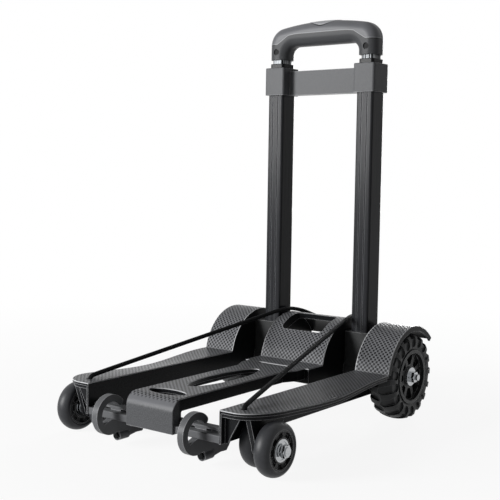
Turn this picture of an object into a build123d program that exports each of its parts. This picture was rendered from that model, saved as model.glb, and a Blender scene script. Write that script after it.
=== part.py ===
from build123d import *
import os
from math import atan2, cos, degrees, pi, radians, sin, sqrt, tan

# Folding hand truck: a wheeled foot plate in three mouldings and a telescoping handle that folds onto it.
# Millimetres. The origin is on the floor, midway between the front of the cord hooks and the back of the
# rear tyres. +X is the cart's right side when seen from the rear, +Y the rear, +Z up.

os.makedirs("parts", exist_ok=True)

# Foot plate
DECK_TOP = 70.0
SKIN = 3.0
WALL = 2.5
EDGE_R = 1.2
WING_INNER_X = 99.2
WING_OUTER_X = 150.0
WING_FRONT_Y = -189.0
WING_WALL_LOW = 33.0
TIP_LONG = 50.0
TIP_WIDE = 34.5
WING_REAR_Y = 87.5
WING_FLAT_Y = 78.0
WING_DIP = 7.0
WING_DIP_Y = -19.0
FLANGE_TALL = 7.5
RIM_TALL = 3.6
RIM_STEP = 1.6
FLANGE_WALL = 2.4
RIB = 2.0

# Rear axle and the knuckles that arch over it
AXLE_Y = 155.0
AXLE_Z = 57.0
AXLE_R = 4.0
KNUCKLE_Y = 152.5
KNUCKLE_Z = 56.6
KNUCKLE_R = 67.5
FENDER_OUTER_X = 148.0
FENDER_LIP = 6.5
FENDER_END_DEG = 44.0
HUMP_HALF = 50.5
HUMP_END_DEG = 31.0
HUMP_LOW = 50.5
HUMP_FRONT_Y = 53.0
CREASE_DEG = 168.5
RUN_FIT = 0.05
LOOSE_FIT = 0.1

# Hand hole in the hump
HOLE_WIDE = 66.0
HOLE_LONG = 46.0
HOLE_DEG = 111.0
HOLE_CORNER = 7.0
HOLE_DEEP = 12.0

# Centre panel
PANEL_HALF = 35.5
PANEL_REAR_HALF = 44.3
PANEL_DEEP = 14.0
SLOT_DEEP = 5.5
LIP_FRONT_Y = -191.0
LIP_LOW = 32.0
LIP_BEND = 16.0
LONG_SLOT = (37.0, 133.0, -55.5)
FRONT_SLOT = (53.0, 25.0, -160.0)
NOTCH = (56.0, 9.0)

# Front crossbar
BAR_FRONT_Y = -188.0
BAR_REAR_Y = -166.0
BAR_LOW = 33.0
BAR_LEDGE = 41.3
BAR_TOP = 46.0
BAR_STEP_Y = -178.0

# Cord hooks
HOOK_X = 64.5
HOOK_THICK = 8.0
HOOK_Y = -188.5
HOOK_Z = 38.5
HOOK_R_OUT = 23.5
HOOK_R_IN = 15.0
HOOK_TIP_DEG = 42.0
HOOK_REAR_Y = -132.0
HOOK_BOSS_R = 6.0
HOOK_BOSS_Z = 11.0
HOOK_BOSS_Y = (-176.0, -160.0)
SCREW_R = 2.0
SCREW_HEAD_R = 3.6
SCREW_HEAD_TALL = 2.2

# Rear wheels
REAR_R = 57.0
REAR_IN_X = 108.0
REAR_OUT_X = 146.0
RIM_R = 35.2
RIM_THICK = 4.2
HUB_R = 13.0
BUSH_R = 7.0
HUB_OUT_X = 142.0
SPOKES = 8
SPOKE_WIDE = 6.0
LUGS = 18
LUG_GAP = 11.0
VALLEY_DEEP = (1.2, 22.0)
FLANK_DEEP = 2.6
FLANK_FOOT_R = 38.5
WASHER_R = 12.0
WASHER_THICK = 1.6
NUT_ACROSS = 13.0
NUT_TALL = 6.5
AXLE_HALF = 154.0

# Front wheels
FRONT_R = 30.0
FRONT_WIDE = 20.0
FRONT_RIM_R = 22.0
BEARING_R = 12.3
BEARING_WIDE = 6.0
FRONT_SPOKES = 8
OUTER_WHEEL = (149.5, -157.0)
INNER_WHEEL = (115.5, -137.5)
LEG_X = (126.5, 132.5)
LEG_BOSS_R = 11.0
LEG_TOP_Y = (-181.5, -110.0)
BOLT_HEAD_TALL = 5.3
LOW_HEAD_R = 6.0
LOW_HEAD_TALL = 2.0
SPACER_R = 8.5
SIDE_PLAY = 0.3

# Handle
TUBE_X = 71.5
TUBE_FOOT_Z = 80.0
SOCKET_X = (51.5, 98.3)
SOCKET_HALF_DEEP = 19.0
SOCKET_TOP = 109.5
SOCKET_R = 20.0
OUTER_TUBE = (25.0, 30.0, 3.0)
OUTER_WALL = 1.6
GROOVE = (1.6, 0.8, 4.2)
MID_TUBE = (20.6, 25.6, 2.5)
INNER_TUBE = (17.8, 22.8, 2.6)
THIN_WALL = 1.0
SLIDE_GAP = 0.3
MID_FOOT_Z = 96.0
INNER_FOOT_Z = 112.0
BLOCK_LOW = 427.0
BLOCK_TOP = 464.5
BLOCK_WIDE = 32.0
BLOCK_DEEP = 37.5
BLOCK_CAP = 4.5
TIE_FRONT = -4.0
TIE_DEEP = 13.0
TIE_TOP = 460.0
COLLAR = (22.4, 27.4, 3.4)
COLLAR_TOP = 470.5

# Grip
GRIP_LOW = 476.0
GRIP_TOP = 525.0
GRIP_OUTER = 85.5
GRIP_INNER = 56.5
GRIP_UNDER = 493.3
CROWN_R = 377.0
SHOULDER_R = 24.0
UNDER_R = 12.0
GRIP_DEEP = 30.0
GRIP_ROUND = 12.0
INNER_TUBE_TOP = 491.0
SEAM_LOW = 495.5
SEAM_HIGH = 508.0
CAVITY_HALF = 75.5
CAVITY_DEEP = 12.0
CAVITY_Z = (497.0, 512.0)
BUTTON_LONG = 54.0
BUTTON_WIDE = 26.0
BUTTON_PROUD = 0.5
BUTTON_GAP = 0.4
BUTTON_LOW = 519.0
WELL_LOW = 515.5
STEM = (14.0, 7.0)
PUSH_BAR = (148.0, 8.0, 4.0)
PUSH_BAR_Z = 503.0
ROD_R = 2.0
ROD_FOOT_Z = 124.0
SPRING_R = (2.6, 3.6)
GRIP_SCREW_Z = 486.5
GRIP_SCREW_SINK = 1.6

# Elastic cord, right half of its route from the wing tip to the back of the hump
CORD_D = 5.5
CORD_HOLE = (117.0, -169.5)
CORD_HOLE_R = 4.2
CORD_RISE = 78.0
KNOT_R = 4.6
KNOT_Z = 61.8
CORD_SHOULDER = [
    (53.2, 151.0, 129.0),
    (46.5, 178.0, 124.3),
    (32.0, 196.0, 114.2),
    (12.0, 204.1, 106.5),
]
KEEPER_DEG = 47.0
KEEPER_LIP = (8.0, 9.8)


def save(name, shape):
    """Write one piece under its node name."""
    shape.label = name
    export_step(shape, f"parts/{name}.step")


def mirrored(shape):
    """The same piece on the cart's other side."""
    return mirror(shape, about=Plane.YZ)


def save_pair(name, shape):
    """Write a right-hand piece and its left-hand mirror image."""
    save(f"right_{name}", shape)
    save(f"left_{name}", mirrored(shape))


def along_x(sketch, x_from, x_to):
    """Extrude a sketch drawn in (Y, Z) from one X to another."""
    return extrude(Plane.YZ.offset(x_from) * sketch, amount=x_to - x_from, dir=(1, 0, 0))


def along_y(sketch, y_from, y_to):
    """Extrude a sketch drawn in (X, Z) from one Y to another."""
    return extrude(Plane.XZ.offset(-y_from) * sketch, amount=y_to - y_from, dir=(0, 1, 0))


def along_z(sketch, z_from, z_to):
    """Extrude a sketch drawn in (X, Y) from one Z to another."""
    return extrude(Plane.XY.offset(z_from) * sketch, amount=z_to - z_from, dir=(0, 0, 1))


def rod_x(radius, x_from, x_to, y, z):
    """A round bar along X."""
    return along_x(Pos(y, z) * Circle(radius), x_from, x_to)


def ring_x(outer, inner, x_from, x_to, y, z):
    """A round tube along X."""
    return along_x(Pos(y, z) * (Circle(outer) - Circle(inner)), x_from, x_to)


def hexagon_x(across, x_from, x_to, y, z):
    """A hexagonal nut body along X, by its width across the flats, its corners turned off at both ends."""
    bar = along_x(Pos(y, z) * RegularPolygon(across / 2, 6, major_radius=False), x_from, x_to)
    turned = rod_x(across / 2 * 1.155, x_from, x_to, y, z)
    return bar & chamfer(turned.edges().filter_by(GeomType.CIRCLE), 0.5, 1.0)


def on_arc(radius, degrees):
    """A point in (Y, Z) on the knuckle's arc; 0 degrees is straight back, 90 straight up."""
    return (KNUCKLE_Y + radius * cos(radians(degrees)), KNUCKLE_Z + radius * sin(radians(degrees)))


def arc_band(r_in, r_out, deg_from, deg_to):
    """A sketch in (Y, Z) of a curved band about the knuckle's centre."""
    centre = (KNUCKLE_Y, KNUCKLE_Z)
    outer = CenterArc(centre, r_out, deg_from, deg_to - deg_from)
    inner = CenterArc(centre, r_in, deg_from, deg_to - deg_from)
    ends = [Line(outer @ 0, inner @ 0), Line(outer @ 1, inner @ 1)]
    return make_face([outer, inner] + ends)


def knuckle_wall(front_y, front_low, end_deg, foot):
    """A sketch in (Y, Z) of a side wall: level under the deck, then arched over the axle."""
    arch = CenterArc((KNUCKLE_Y, KNUCKLE_Z), KNUCKLE_R, end_deg, CREASE_DEG - end_deg)
    rim = Polyline(arch @ 1, (front_y, DECK_TOP), (front_y, front_low), *foot, arch @ 0)
    return make_face([arch, rim])


def arch_edges(shape, x):
    """The edges at a distance from the cart's middle where the knuckle's outer face ends."""
    arcs = shape.edges().filter_by(GeomType.CIRCLE)
    outer = [arc for arc in arcs if abs(arc.radius - KNUCKLE_R) < 0.01]
    return [arc for arc in outer if abs(abs(arc.center().X) - x) < 0.01]


def dipped_slab(top_off, low_off):
    """The layer between two depths under the wing's top, which dips along its outer edge."""
    reach = 5.0
    far_x = WING_OUTER_X + reach
    far_dip = WING_DIP * (far_x - WING_INNER_X) / (WING_OUTER_X - WING_INNER_X)
    front = WING_FRONT_Y - reach
    rear = WING_REAR_Y + reach
    level = [Vector(1, 0), Vector(1, 0)]

    def section(x, dip):
        edges = []
        for depth in (top_off, low_off):
            z = DECK_TOP - depth
            edges.append(Spline((front, z), (WING_DIP_Y, z - dip), (WING_FLAT_Y, z), tangents=level))
            edges.append(Line((WING_FLAT_Y, z), (rear, z)))
        edges.append(Line((front, DECK_TOP - top_off), (front, DECK_TOP - low_off)))
        edges.append(Line((rear, DECK_TOP - top_off), (rear, DECK_TOP - low_off)))
        return Plane.YZ.offset(x) * make_face(edges)

    near = section(WING_INNER_X - reach, -far_dip * reach / (far_x - WING_INNER_X))
    return loft([near, section(far_x, far_dip)], ruled=True)


def wing_outline(inset=0.0):
    """A sketch in (X, Y) of the right wing, its front corner a quarter of an ellipse."""
    centre = (WING_OUTER_X - TIP_WIDE, WING_FRONT_Y + TIP_LONG)
    tip = EllipticalCenterArc(centre, TIP_WIDE - inset, TIP_LONG - inset, start_angle=270, arc_size=90)
    near_x, rear = WING_INNER_X + inset, WING_REAR_Y - inset
    heel = [(FENDER_OUTER_X - inset, rear), (near_x, rear), (near_x, WING_FRONT_Y + inset)]
    return make_face([tip, Polyline(tip @ 1, *heel, tip @ 0)])


def wing():
    """Right wing: dipped deck with a rim flange, inner wall, ribs, fender, front gusset and wheel leg."""
    low = WING_WALL_LOW
    wall_x = WING_INNER_X + WALL
    body = dipped_slab(0, 60) & along_z(wing_outline(), low, DECK_TOP + SKIN)
    top_edges = [edge for edge in body.edges() if edge.center().Z > DECK_TOP - 10 and edge.center().X > wall_x]
    body = fillet([edge for edge in top_edges if edge.center().Y < WING_FLAT_Y - 1], EDGE_R)
    body -= dipped_slab(SKIN, 80) & along_z(wing_outline(RIM_STEP + FLANGE_WALL), 0, DECK_TOP)
    outside = along_z(Pos(wall_x + 40, 0) * Rectangle(80, 500), 0, DECK_TOP)
    recess = along_z(wing_outline() - wing_outline(RIM_STEP), 0, DECK_TOP) & outside
    body -= dipped_slab(RIM_TALL, 80) & recess
    body -= dipped_slab(FLANGE_TALL, 80) & outside

    foot = [(AXLE_Y - 5, low), (AXLE_Y + 16, AXLE_Z - 12), (AXLE_Y + 24, AXLE_Z)]
    wall = along_x(knuckle_wall(WING_FLAT_Y + 1, low, FENDER_END_DEG, foot), WING_INNER_X, wall_x)
    fender_sketch = arc_band(KNUCKLE_R - SKIN, KNUCKLE_R, FENDER_END_DEG, CREASE_DEG)
    fender = along_x(fender_sketch, WING_INNER_X, FENDER_OUTER_X)
    lip_sketch = arc_band(KNUCKLE_R - FENDER_LIP, KNUCKLE_R, FENDER_END_DEG, CREASE_DEG)
    fender += along_x(lip_sketch, FENDER_OUTER_X - WALL, FENDER_OUTER_X)
    fender = fillet(arch_edges(fender, FENDER_OUTER_X), EDGE_R)
    boss = rod_x(14, WING_INNER_X, REAR_IN_X - 1.3, AXLE_Y, AXLE_Z)

    under = dipped_slab(SKIN - 0.5, 60)
    near_x, far_x = WING_INNER_X + 1, WING_OUTER_X - RIM_STEP - 1
    wedge = Polygon((near_x, low + 7), (near_x, DECK_TOP), (far_x, DECK_TOP), (far_x, DECK_TOP - 8),
                    align=None)
    ribs = [along_y(wedge, y, y + RIB) & under for y in (-88, -44, 0, 44)]
    gusset = Polygon((near_x, low), (near_x, DECK_TOP), (126, DECK_TOP), (109, 40), (106, low), align=None)
    front = along_y(gusset, WING_FRONT_Y + 7, WING_FRONT_Y + 7 + WALL) & under

    wheel_z = FRONT_R
    ends = [OUTER_WHEEL[1], INNER_WHEEL[1]]
    leg_sketch = Polygon((LEG_TOP_Y[0], DECK_TOP), (ends[0] - LEG_BOSS_R, wheel_z),
                         (ends[1] + LEG_BOSS_R, wheel_z), (LEG_TOP_Y[1], DECK_TOP), align=None)
    for y in ends:
        leg_sketch += Pos(y, wheel_z) * Circle(LEG_BOSS_R)
    middle = sum(ends) / 2
    leg_sketch += Pos(middle, wheel_z - LEG_BOSS_R / 2) * Rectangle(ends[1] - ends[0], LEG_BOSS_R)
    leg = along_x(leg_sketch, *LEG_X) & under

    for piece in [wall, fender, boss, front, leg] + ribs:
        body += piece
    body -= rod_x(AXLE_R + LOOSE_FIT, WING_INNER_X - 5, REAR_IN_X, AXLE_Y, AXLE_Z)
    for y in ends:
        body -= rod_x(AXLE_R + RUN_FIT, LEG_X[0] - 1, LEG_X[1] + 1, y, wheel_z)
    body -= along_z(Pos(*CORD_HOLE) * Circle(CORD_HOLE_R), DECK_TOP - 12, DECK_TOP + 2)
    return body


def hump():
    """Centre knuckle: arched shell on two side walls, short deck, hand hole with a collar, cord keeper."""
    half = HUMP_HALF
    shell = along_x(arc_band(KNUCKLE_R - SKIN, KNUCKLE_R, HUMP_END_DEG, CREASE_DEG), -half, half)
    crease_y = on_arc(KNUCKLE_R, CREASE_DEG)[0]
    deck = Pos(0, (HUMP_FRONT_Y + crease_y + 2) / 2, DECK_TOP - SKIN / 2) * Box(
        2 * half, crease_y + 2 - HUMP_FRONT_Y, SKIN)
    front = Pos(0, HUMP_FRONT_Y + WALL / 2, (DECK_TOP + HUMP_LOW) / 2) * Box(
        2 * half, WALL, DECK_TOP - HUMP_LOW)
    foot = [(AXLE_Y - 30, HUMP_LOW - 14), (AXLE_Y + 10, HUMP_LOW - 14), (AXLE_Y + 24, AXLE_Z)]
    side = along_x(knuckle_wall(HUMP_FRONT_Y, HUMP_LOW, HUMP_END_DEG, foot), half - WALL, half)
    boss = rod_x(12, half - 12, half, AXLE_Y, AXLE_Z)
    body = shell + deck + front + side + mirrored(side) + boss + mirrored(boss)
    body = fillet(arch_edges(body, half), EDGE_R)

    out = Plane(origin=(0, *on_arc(KNUCKLE_R - HOLE_DEEP, HOLE_DEG)), x_dir=(1, 0, 0),
                z_dir=(0, cos(radians(HOLE_DEG)), sin(radians(HOLE_DEG))))
    hole = RectangleRounded(HOLE_WIDE, HOLE_LONG, HOLE_CORNER)
    rim = RectangleRounded(HOLE_WIDE + 2 * WALL, HOLE_LONG + 2 * WALL, HOLE_CORNER + WALL)
    under_skin = rod_x(KNUCKLE_R - SKIN / 3, -half, half, KNUCKLE_Y, KNUCKLE_Z)
    body += extrude(out * rim, amount=HOLE_DEEP) & under_skin
    body -= extrude(out.offset(-5) * hole, amount=HOLE_DEEP + 15)

    lip_in, lip_out = KNUCKLE_R + KEEPER_LIP[0], KNUCKLE_R + KEEPER_LIP[1]
    keeper = arc_band(KNUCKLE_R - 1, lip_out, KEEPER_DEG, KEEPER_DEG + 2.5)
    keeper += arc_band(lip_in, lip_out, KEEPER_DEG - 5.5, KEEPER_DEG)
    body += along_x(keeper, -7, 7)
    body -= rod_x(AXLE_R + LOOSE_FIT, -half - 5, half + 5, AXLE_Y, AXLE_Z)
    return body


def lip_band(outer, inner, low, rear):
    """A sketch in (Y, Z) of the panel's section between two depths, rolled down at the front."""
    centre = (LIP_FRONT_Y + LIP_BEND, DECK_TOP - LIP_BEND)
    bend_out = CenterArc(centre, LIP_BEND - outer, 90, 90)
    bend_in = CenterArc(centre, LIP_BEND - inner, 90, 90)
    rim = [
        Line(bend_out @ 1, (LIP_FRONT_Y + outer, low)),
        Line((LIP_FRONT_Y + outer, low), (LIP_FRONT_Y + inner, low)),
        Line((LIP_FRONT_Y + inner, low), bend_in @ 1),
        Line(bend_in @ 0, (rear, DECK_TOP - inner)),
        Line((rear, DECK_TOP - inner), (rear, DECK_TOP - outer)),
        Line((rear, DECK_TOP - outer), bend_out @ 0),
    ]
    return make_face([bend_out, bend_in] + rim)


def crossbar_sketch():
    """A sketch in (Y, Z) of the stepped crossbar."""
    return Polygon((BAR_FRONT_Y, BAR_LOW), (BAR_FRONT_Y, BAR_LEDGE), (BAR_STEP_Y, BAR_LEDGE),
                   (BAR_STEP_Y, BAR_TOP), (BAR_REAR_Y, BAR_TOP), (BAR_REAR_Y, BAR_LOW), align=None)


def oval(slot, grow=0.0):
    """A sketch in (X, Y) of an oval slot, given as its width, its length and the Y of its middle."""
    wide, long, middle_y = slot
    return Pos(0, middle_y) * Ellipse(wide / 2 + grow, long / 2 + grow)


def panel():
    """Centre panel: a shallow tray turned over, rolled down at the front, with two collared slots."""
    rear = HUMP_FRONT_Y
    tray = along_x(lip_band(0, PANEL_DEEP, LIP_LOW, rear), -PANEL_HALF, PANEL_HALF)
    sides = [edge for edge in tray.edges() if abs(abs(edge.center().X) - PANEL_HALF) < 0.01]
    top_sides = [edge for edge in sides if edge.center().Z > DECK_TOP - 0.1]
    arcs = [edge for edge in sides if edge.geom_type == GeomType.CIRCLE]
    bend_sides = [arc for arc in arcs if arc.radius > LIP_BEND - 0.1]
    front_sides = [edge for edge in sides if edge.center().Y < LIP_FRONT_Y + 0.1]
    tray = fillet(top_sides + bend_sides + front_sides, EDGE_R)
    pocket_sketch = lip_band(SKIN, PANEL_DEEP + 1, LIP_LOW - 1, rear - WALL)
    pocket = along_x(pocket_sketch, -PANEL_HALF + WALL, PANEL_HALF - WALL)
    flare = Polygon((PANEL_HALF - WALL, 12), (PANEL_REAR_HALF, 36), (PANEL_REAR_HALF, rear),
                    (PANEL_HALF - WALL, rear), align=None)
    ears = along_z(flare, DECK_TOP - PANEL_DEEP, DECK_TOP)
    body = tray - pocket + ears + mirrored(ears)

    floor = DECK_TOP - PANEL_DEEP
    for slot in (LONG_SLOT, FRONT_SLOT):
        body += along_z(oval(slot, WALL), DECK_TOP - SLOT_DEEP, DECK_TOP - 1)
    for y in (-130, 20):
        body += Pos(0, y, (floor + DECK_TOP - 1) / 2) * Box(2 * PANEL_HALF - WALL, RIB, PANEL_DEEP - 1)
    for slot in (LONG_SLOT, FRONT_SLOT):
        body -= along_z(oval(slot), floor - 1, DECK_TOP + 1)
    notch = Pos(0, rear) * RectangleRounded(NOTCH[0], 2 * NOTCH[1], 5)
    body -= along_z(notch, DECK_TOP - 2, DECK_TOP + 1)
    body -= along_x(crossbar_sketch(), -PANEL_HALF - 1, PANEL_HALF + 1)
    return body


def crossbar():
    """Front crossbar: a stepped channel, open below."""
    body = along_x(crossbar_sketch(), -WING_INNER_X, WING_INNER_X)
    long_edges = body.edges().filter_by(Axis.X)
    top_edges = [edge for edge in long_edges if edge.center().Z > BAR_TOP - 0.1]
    front_edges = [edge for edge in long_edges if edge.center().Y < BAR_FRONT_Y + 0.1]
    body = fillet(top_edges + front_edges, 1.0)
    groove = Polygon((BAR_STEP_Y, BAR_LOW), (BAR_STEP_Y, BAR_TOP - WALL),
                     (BAR_REAR_Y - WALL, BAR_TOP - WALL), (BAR_REAR_Y - WALL, BAR_LOW), align=None)
    gap = HOOK_X - HOOK_THICK
    for x_from, x_to in ((-gap, gap), (HOOK_X + HOOK_THICK, WING_INNER_X - WALL)):
        slot = along_x(groove, x_from, x_to)
        body -= slot
        body -= mirrored(slot)
    return body


def hook():
    """Right cord hook: an open ring round the crossbar on a flat arm, with a screw boss."""
    middle = (HOOK_R_OUT + HOOK_R_IN) / 2
    sweep_deg = 300 - HOOK_TIP_DEG
    outer = CenterArc((HOOK_Y, HOOK_Z), HOOK_R_OUT, HOOK_TIP_DEG, sweep_deg)
    inner = CenterArc((HOOK_Y, HOOK_Z), HOOK_R_IN, HOOK_TIP_DEG, sweep_deg)
    claw = make_face([outer, inner, Line(outer @ 0, inner @ 0), Line(outer @ 1, inner @ 1)])
    tip = Vector(HOOK_Y, HOOK_Z) + Vector(middle, 0).rotate(Axis.Z, HOOK_TIP_DEG)
    claw += Pos(tip) * Circle((HOOK_R_OUT - HOOK_R_IN) / 2)
    boss_front, boss_rear = HOOK_BOSS_Y
    under_z = HOOK_Z - HOOK_R_OUT
    arm = Polygon((HOOK_Y - 12, 28.5), (HOOK_Y, BAR_LOW), (HOOK_REAR_Y, BAR_LOW), (HOOK_REAR_Y, 15),
                  (HOOK_REAR_Y - 5, 9.5), (HOOK_REAR_Y - 15, 10), (boss_rear, 8), (boss_front, 10),
                  (boss_front, 16.5), (HOOK_Y, under_z), (HOOK_Y - 6, under_z + 2), align=None)
    body = along_x(claw + arm, HOOK_X - HOOK_THICK / 2, HOOK_X + HOOK_THICK / 2)
    at_boss = Pos(HOOK_X, HOOK_BOSS_Z)
    body += along_y(at_boss * Circle(HOOK_BOSS_R), *HOOK_BOSS_Y)
    body -= along_y(at_boss * Circle(SCREW_R), HOOK_BOSS_Y[0], HOOK_BOSS_Y[1] - 2)
    return body


def hook_screw():
    """Round-head screw in the hook's boss."""
    front = HOOK_BOSS_Y[0]
    at_boss = Pos(HOOK_X, HOOK_BOSS_Z)
    head = along_y(at_boss * Circle(SCREW_HEAD_R), front - SCREW_HEAD_TALL, front)
    return head + along_y(at_boss * Circle(SCREW_R), front, HOOK_BOSS_Y[1] - 2)


def lathe_x(sketch, x, y, z):
    """Revolve a sketch drawn in (X, radius) about an X axle and set it in place."""
    return Pos(x, y, z) * revolve(Plane.XZ * sketch, axis=Axis.X)


def around_x(shape, count, first=0.0):
    """Copies of a shape, spaced evenly about the X axis through the origin."""
    return [Rot(first + i * 360 / count, 0, 0) * shape for i in range(count)]


def rear_tyre():
    """Rear tyre: a ring whose U-shaped valleys leave staggered lugs on both shoulders."""
    half = (REAR_OUT_X - REAR_IN_X) / 2
    crown = ThreePointArc((-half + 3, REAR_R - 3.2), (0, REAR_R), (half - 3, REAR_R - 3.2))
    right = ThreePointArc(crown @ 1, (half, REAR_R - 12), (half - 2, RIM_R))
    left = ThreePointArc(crown @ 0, (-half, REAR_R - 12), (-half + 2, RIM_R))
    ring = revolve(Plane.XZ * make_face([crown, right, left, Line(left @ 1, right @ 1)]), axis=Axis.X)
    depth, slope = VALLEY_DEEP
    down = radians(slope)
    bed = Plane(origin=(0, 0, REAR_R - depth), x_dir=(cos(down), 0, -sin(down)),
                z_dir=(sin(down), 0, cos(down)))
    tread = bed * (Pos(14, 0) * Rot(0, 0, 12) * SlotOverall(32, LUG_GAP))
    flank_long = REAR_R + 4 - FLANK_FOOT_R
    flank_sketch = Pos(0, FLANK_FOOT_R + flank_long / 2) * Rot(0, 0, 90) * SlotOverall(flank_long, LUG_GAP)
    flank = Plane.YZ.offset(half - FLANK_DEEP) * flank_sketch
    valley = extrude(tread, amount=12) + extrude(flank, amount=6)
    other = mirror(valley, about=Plane.YZ)
    ring -= around_x(valley, LUGS)
    ring -= around_x(other, LUGS, 180 / LUGS)
    return Pos((REAR_IN_X + REAR_OUT_X) / 2, AXLE_Y, AXLE_Z) * ring


def rear_hub():
    """Rear hub: rim, spoked disc near the outer face, and a long boss for the bushes."""
    rim = ring_x(RIM_R, RIM_R - RIM_THICK, REAR_IN_X + 2, REAR_OUT_X, 0, 0)
    boss = ring_x(HUB_R, BUSH_R, REAR_IN_X, HUB_OUT_X, 0, 0)
    disc = ring_x(RIM_R - 1, HUB_R - 1, REAR_OUT_X - 12, REAR_OUT_X - 5.5, 0, 0)
    r_in, r_out = HUB_R + 2.5, RIM_R - RIM_THICK - 0.8
    half_in = r_in * tan(radians(180 / SPOKES)) - SPOKE_WIDE / 2
    half_out = r_out * tan(radians(180 / SPOKES)) - SPOKE_WIDE / 2
    corners = Polygon((-half_in, r_in), (half_in, r_in), (half_out, r_out), (-half_out, r_out), align=None)
    window = along_x(fillet(corners.vertices(), 2.2), REAR_OUT_X - 15, REAR_OUT_X + 2)
    return Pos(0, AXLE_Y, AXLE_Z) * (rim + boss + disc - around_x(window, SPOKES))


def rear_bushes():
    """Two bushes pressed into the ends of the rear hub."""
    length = 12.0
    ends = [(REAR_IN_X, REAR_IN_X + length), (HUB_OUT_X - length, HUB_OUT_X)]
    return [ring_x(BUSH_R, AXLE_R + RUN_FIT, a, b, AXLE_Y, AXLE_Z) for a, b in ends]


def front_tyre(x, y):
    """Front tyre: a ring with a full round crown."""
    half = FRONT_WIDE / 2
    base = FRONT_RIM_R + 1.5
    crown = EllipticalCenterArc((0, base), half, FRONT_R - base, start_angle=0, arc_size=180)
    foot = Polyline(crown @ 1, (-half + 1, FRONT_RIM_R), (half - 1, FRONT_RIM_R), crown @ 0)
    return lathe_x(make_face([crown, foot]), x, y, FRONT_R)


def front_hub(x, y):
    """Front hub: rim, boss for the bearings, and a web with windows."""
    half = FRONT_WIDE / 2 - 1
    rim = ring_x(FRONT_RIM_R, FRONT_RIM_R - 2, -half, half, 0, 0)
    boss = ring_x(BEARING_R + 1.7, BEARING_R, -half, half, 0, 0)
    web = ring_x(FRONT_RIM_R - 1, BEARING_R + 1, -half + 2.5, half - 2.5, 0, 0)
    inner_stop = ring_x(BEARING_R + 1, AXLE_R + 2.5, -half + BEARING_WIDE, half - BEARING_WIDE, 0, 0)
    r_in, r_out = BEARING_R + 1.5, FRONT_RIM_R - 1.8
    window = along_x(Pos(0, (r_in + r_out) / 2) * Rectangle(8.5, r_out - r_in), half - 5, half + 1)
    body = rim + boss + web + inner_stop
    body -= around_x(window, FRONT_SPOKES)
    body -= around_x(mirror(window, about=Plane.YZ), FRONT_SPOKES)
    return Pos(x, y, FRONT_R) * body


def front_bearings(x, y):
    """Two ball bearings, one at each face of a front hub."""
    half = FRONT_WIDE / 2 - 1
    bearing = ring_x(BEARING_R, AXLE_R + RUN_FIT, half - BEARING_WIDE, half, 0, 0)
    race = ring_x(BEARING_R - 2.2, AXLE_R + 2.2, half - 0.8, half + 1, 0, 0)
    bearing -= race
    return [Pos(x, y, FRONT_R) * each for each in (bearing, mirrored(bearing))]


def outer_bolt():
    """Hexagon bolt of the outer front wheel, from outside into the leg."""
    x, y = OUTER_WHEEL
    face = x + FRONT_WIDE / 2 + SIDE_PLAY
    head = hexagon_x(NUT_ACROSS, face, face + BOLT_HEAD_TALL, y, FRONT_R)
    tip = rod_x(NUT_ACROSS / 2 - 1.2, face + BOLT_HEAD_TALL, face + BOLT_HEAD_TALL + 1.2, y, FRONT_R)
    return head + tip + rod_x(AXLE_R, LEG_X[0], face, y, FRONT_R)


def inner_bolt():
    """Low-head bolt of the inner front wheel, from the cart's middle into the leg."""
    x, y = INNER_WHEEL
    face = x - FRONT_WIDE / 2 - SIDE_PLAY
    head = rod_x(LOW_HEAD_R, face - LOW_HEAD_TALL, face, y, FRONT_R)
    return head + rod_x(AXLE_R, face, LEG_X[1], y, FRONT_R)


def front_spacers():
    """Plated spacers beside the leg: a hexagon nut with a washer outside, a plain sleeve inside."""
    x, y = OUTER_WHEEL
    gap_end = x - FRONT_WIDE / 2 - SIDE_PLAY
    nut = hexagon_x(NUT_ACROSS, LEG_X[1], gap_end - WASHER_THICK, y, FRONT_R)
    washer = rod_x(SPACER_R, gap_end - WASHER_THICK, gap_end, y, FRONT_R)
    outer = nut + washer - rod_x(AXLE_R, LEG_X[1] - 1, gap_end + 1, y, FRONT_R)
    face = INNER_WHEEL[0] + FRONT_WIDE / 2 + SIDE_PLAY
    inner = ring_x(7, AXLE_R, face, LEG_X[0], INNER_WHEEL[1], FRONT_R)
    return [outer, inner]


def axle_washer():
    """Plated washer outside the right rear wheel."""
    face = HUB_OUT_X + SIDE_PLAY
    return ring_x(WASHER_R, AXLE_R, face, face + WASHER_THICK, AXLE_Y, AXLE_Z)


def axle_nut():
    """Hexagon nut on the right end of the axle."""
    face = HUB_OUT_X + SIDE_PLAY + WASHER_THICK
    body = hexagon_x(NUT_ACROSS, face, face + NUT_TALL, AXLE_Y, AXLE_Z)
    return body - rod_x(AXLE_R, face - 1, face + NUT_TALL + 1, AXLE_Y, AXLE_Z)


def tube_section(size, wall, grow=0.0):
    """A sketch in (X, Y) of a rounded tube section."""
    wide, deep, corner = size
    outer = RectangleRounded(wide + 2 * grow, deep + 2 * grow, corner + grow)
    return outer - RectangleRounded(wide - 2 * wall, deep - 2 * wall, corner - wall)


def solid_section(size, grow=0.0):
    """A sketch in (X, Y) of a filled tube section, grown by a clearance."""
    return RectangleRounded(size[0] + 2 * grow, size[1] + 2 * grow, size[2] + grow)


def at_tube(sketch):
    """Move a section to the right-hand tube."""
    return Pos(TUBE_X, AXLE_Y) * sketch


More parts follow.
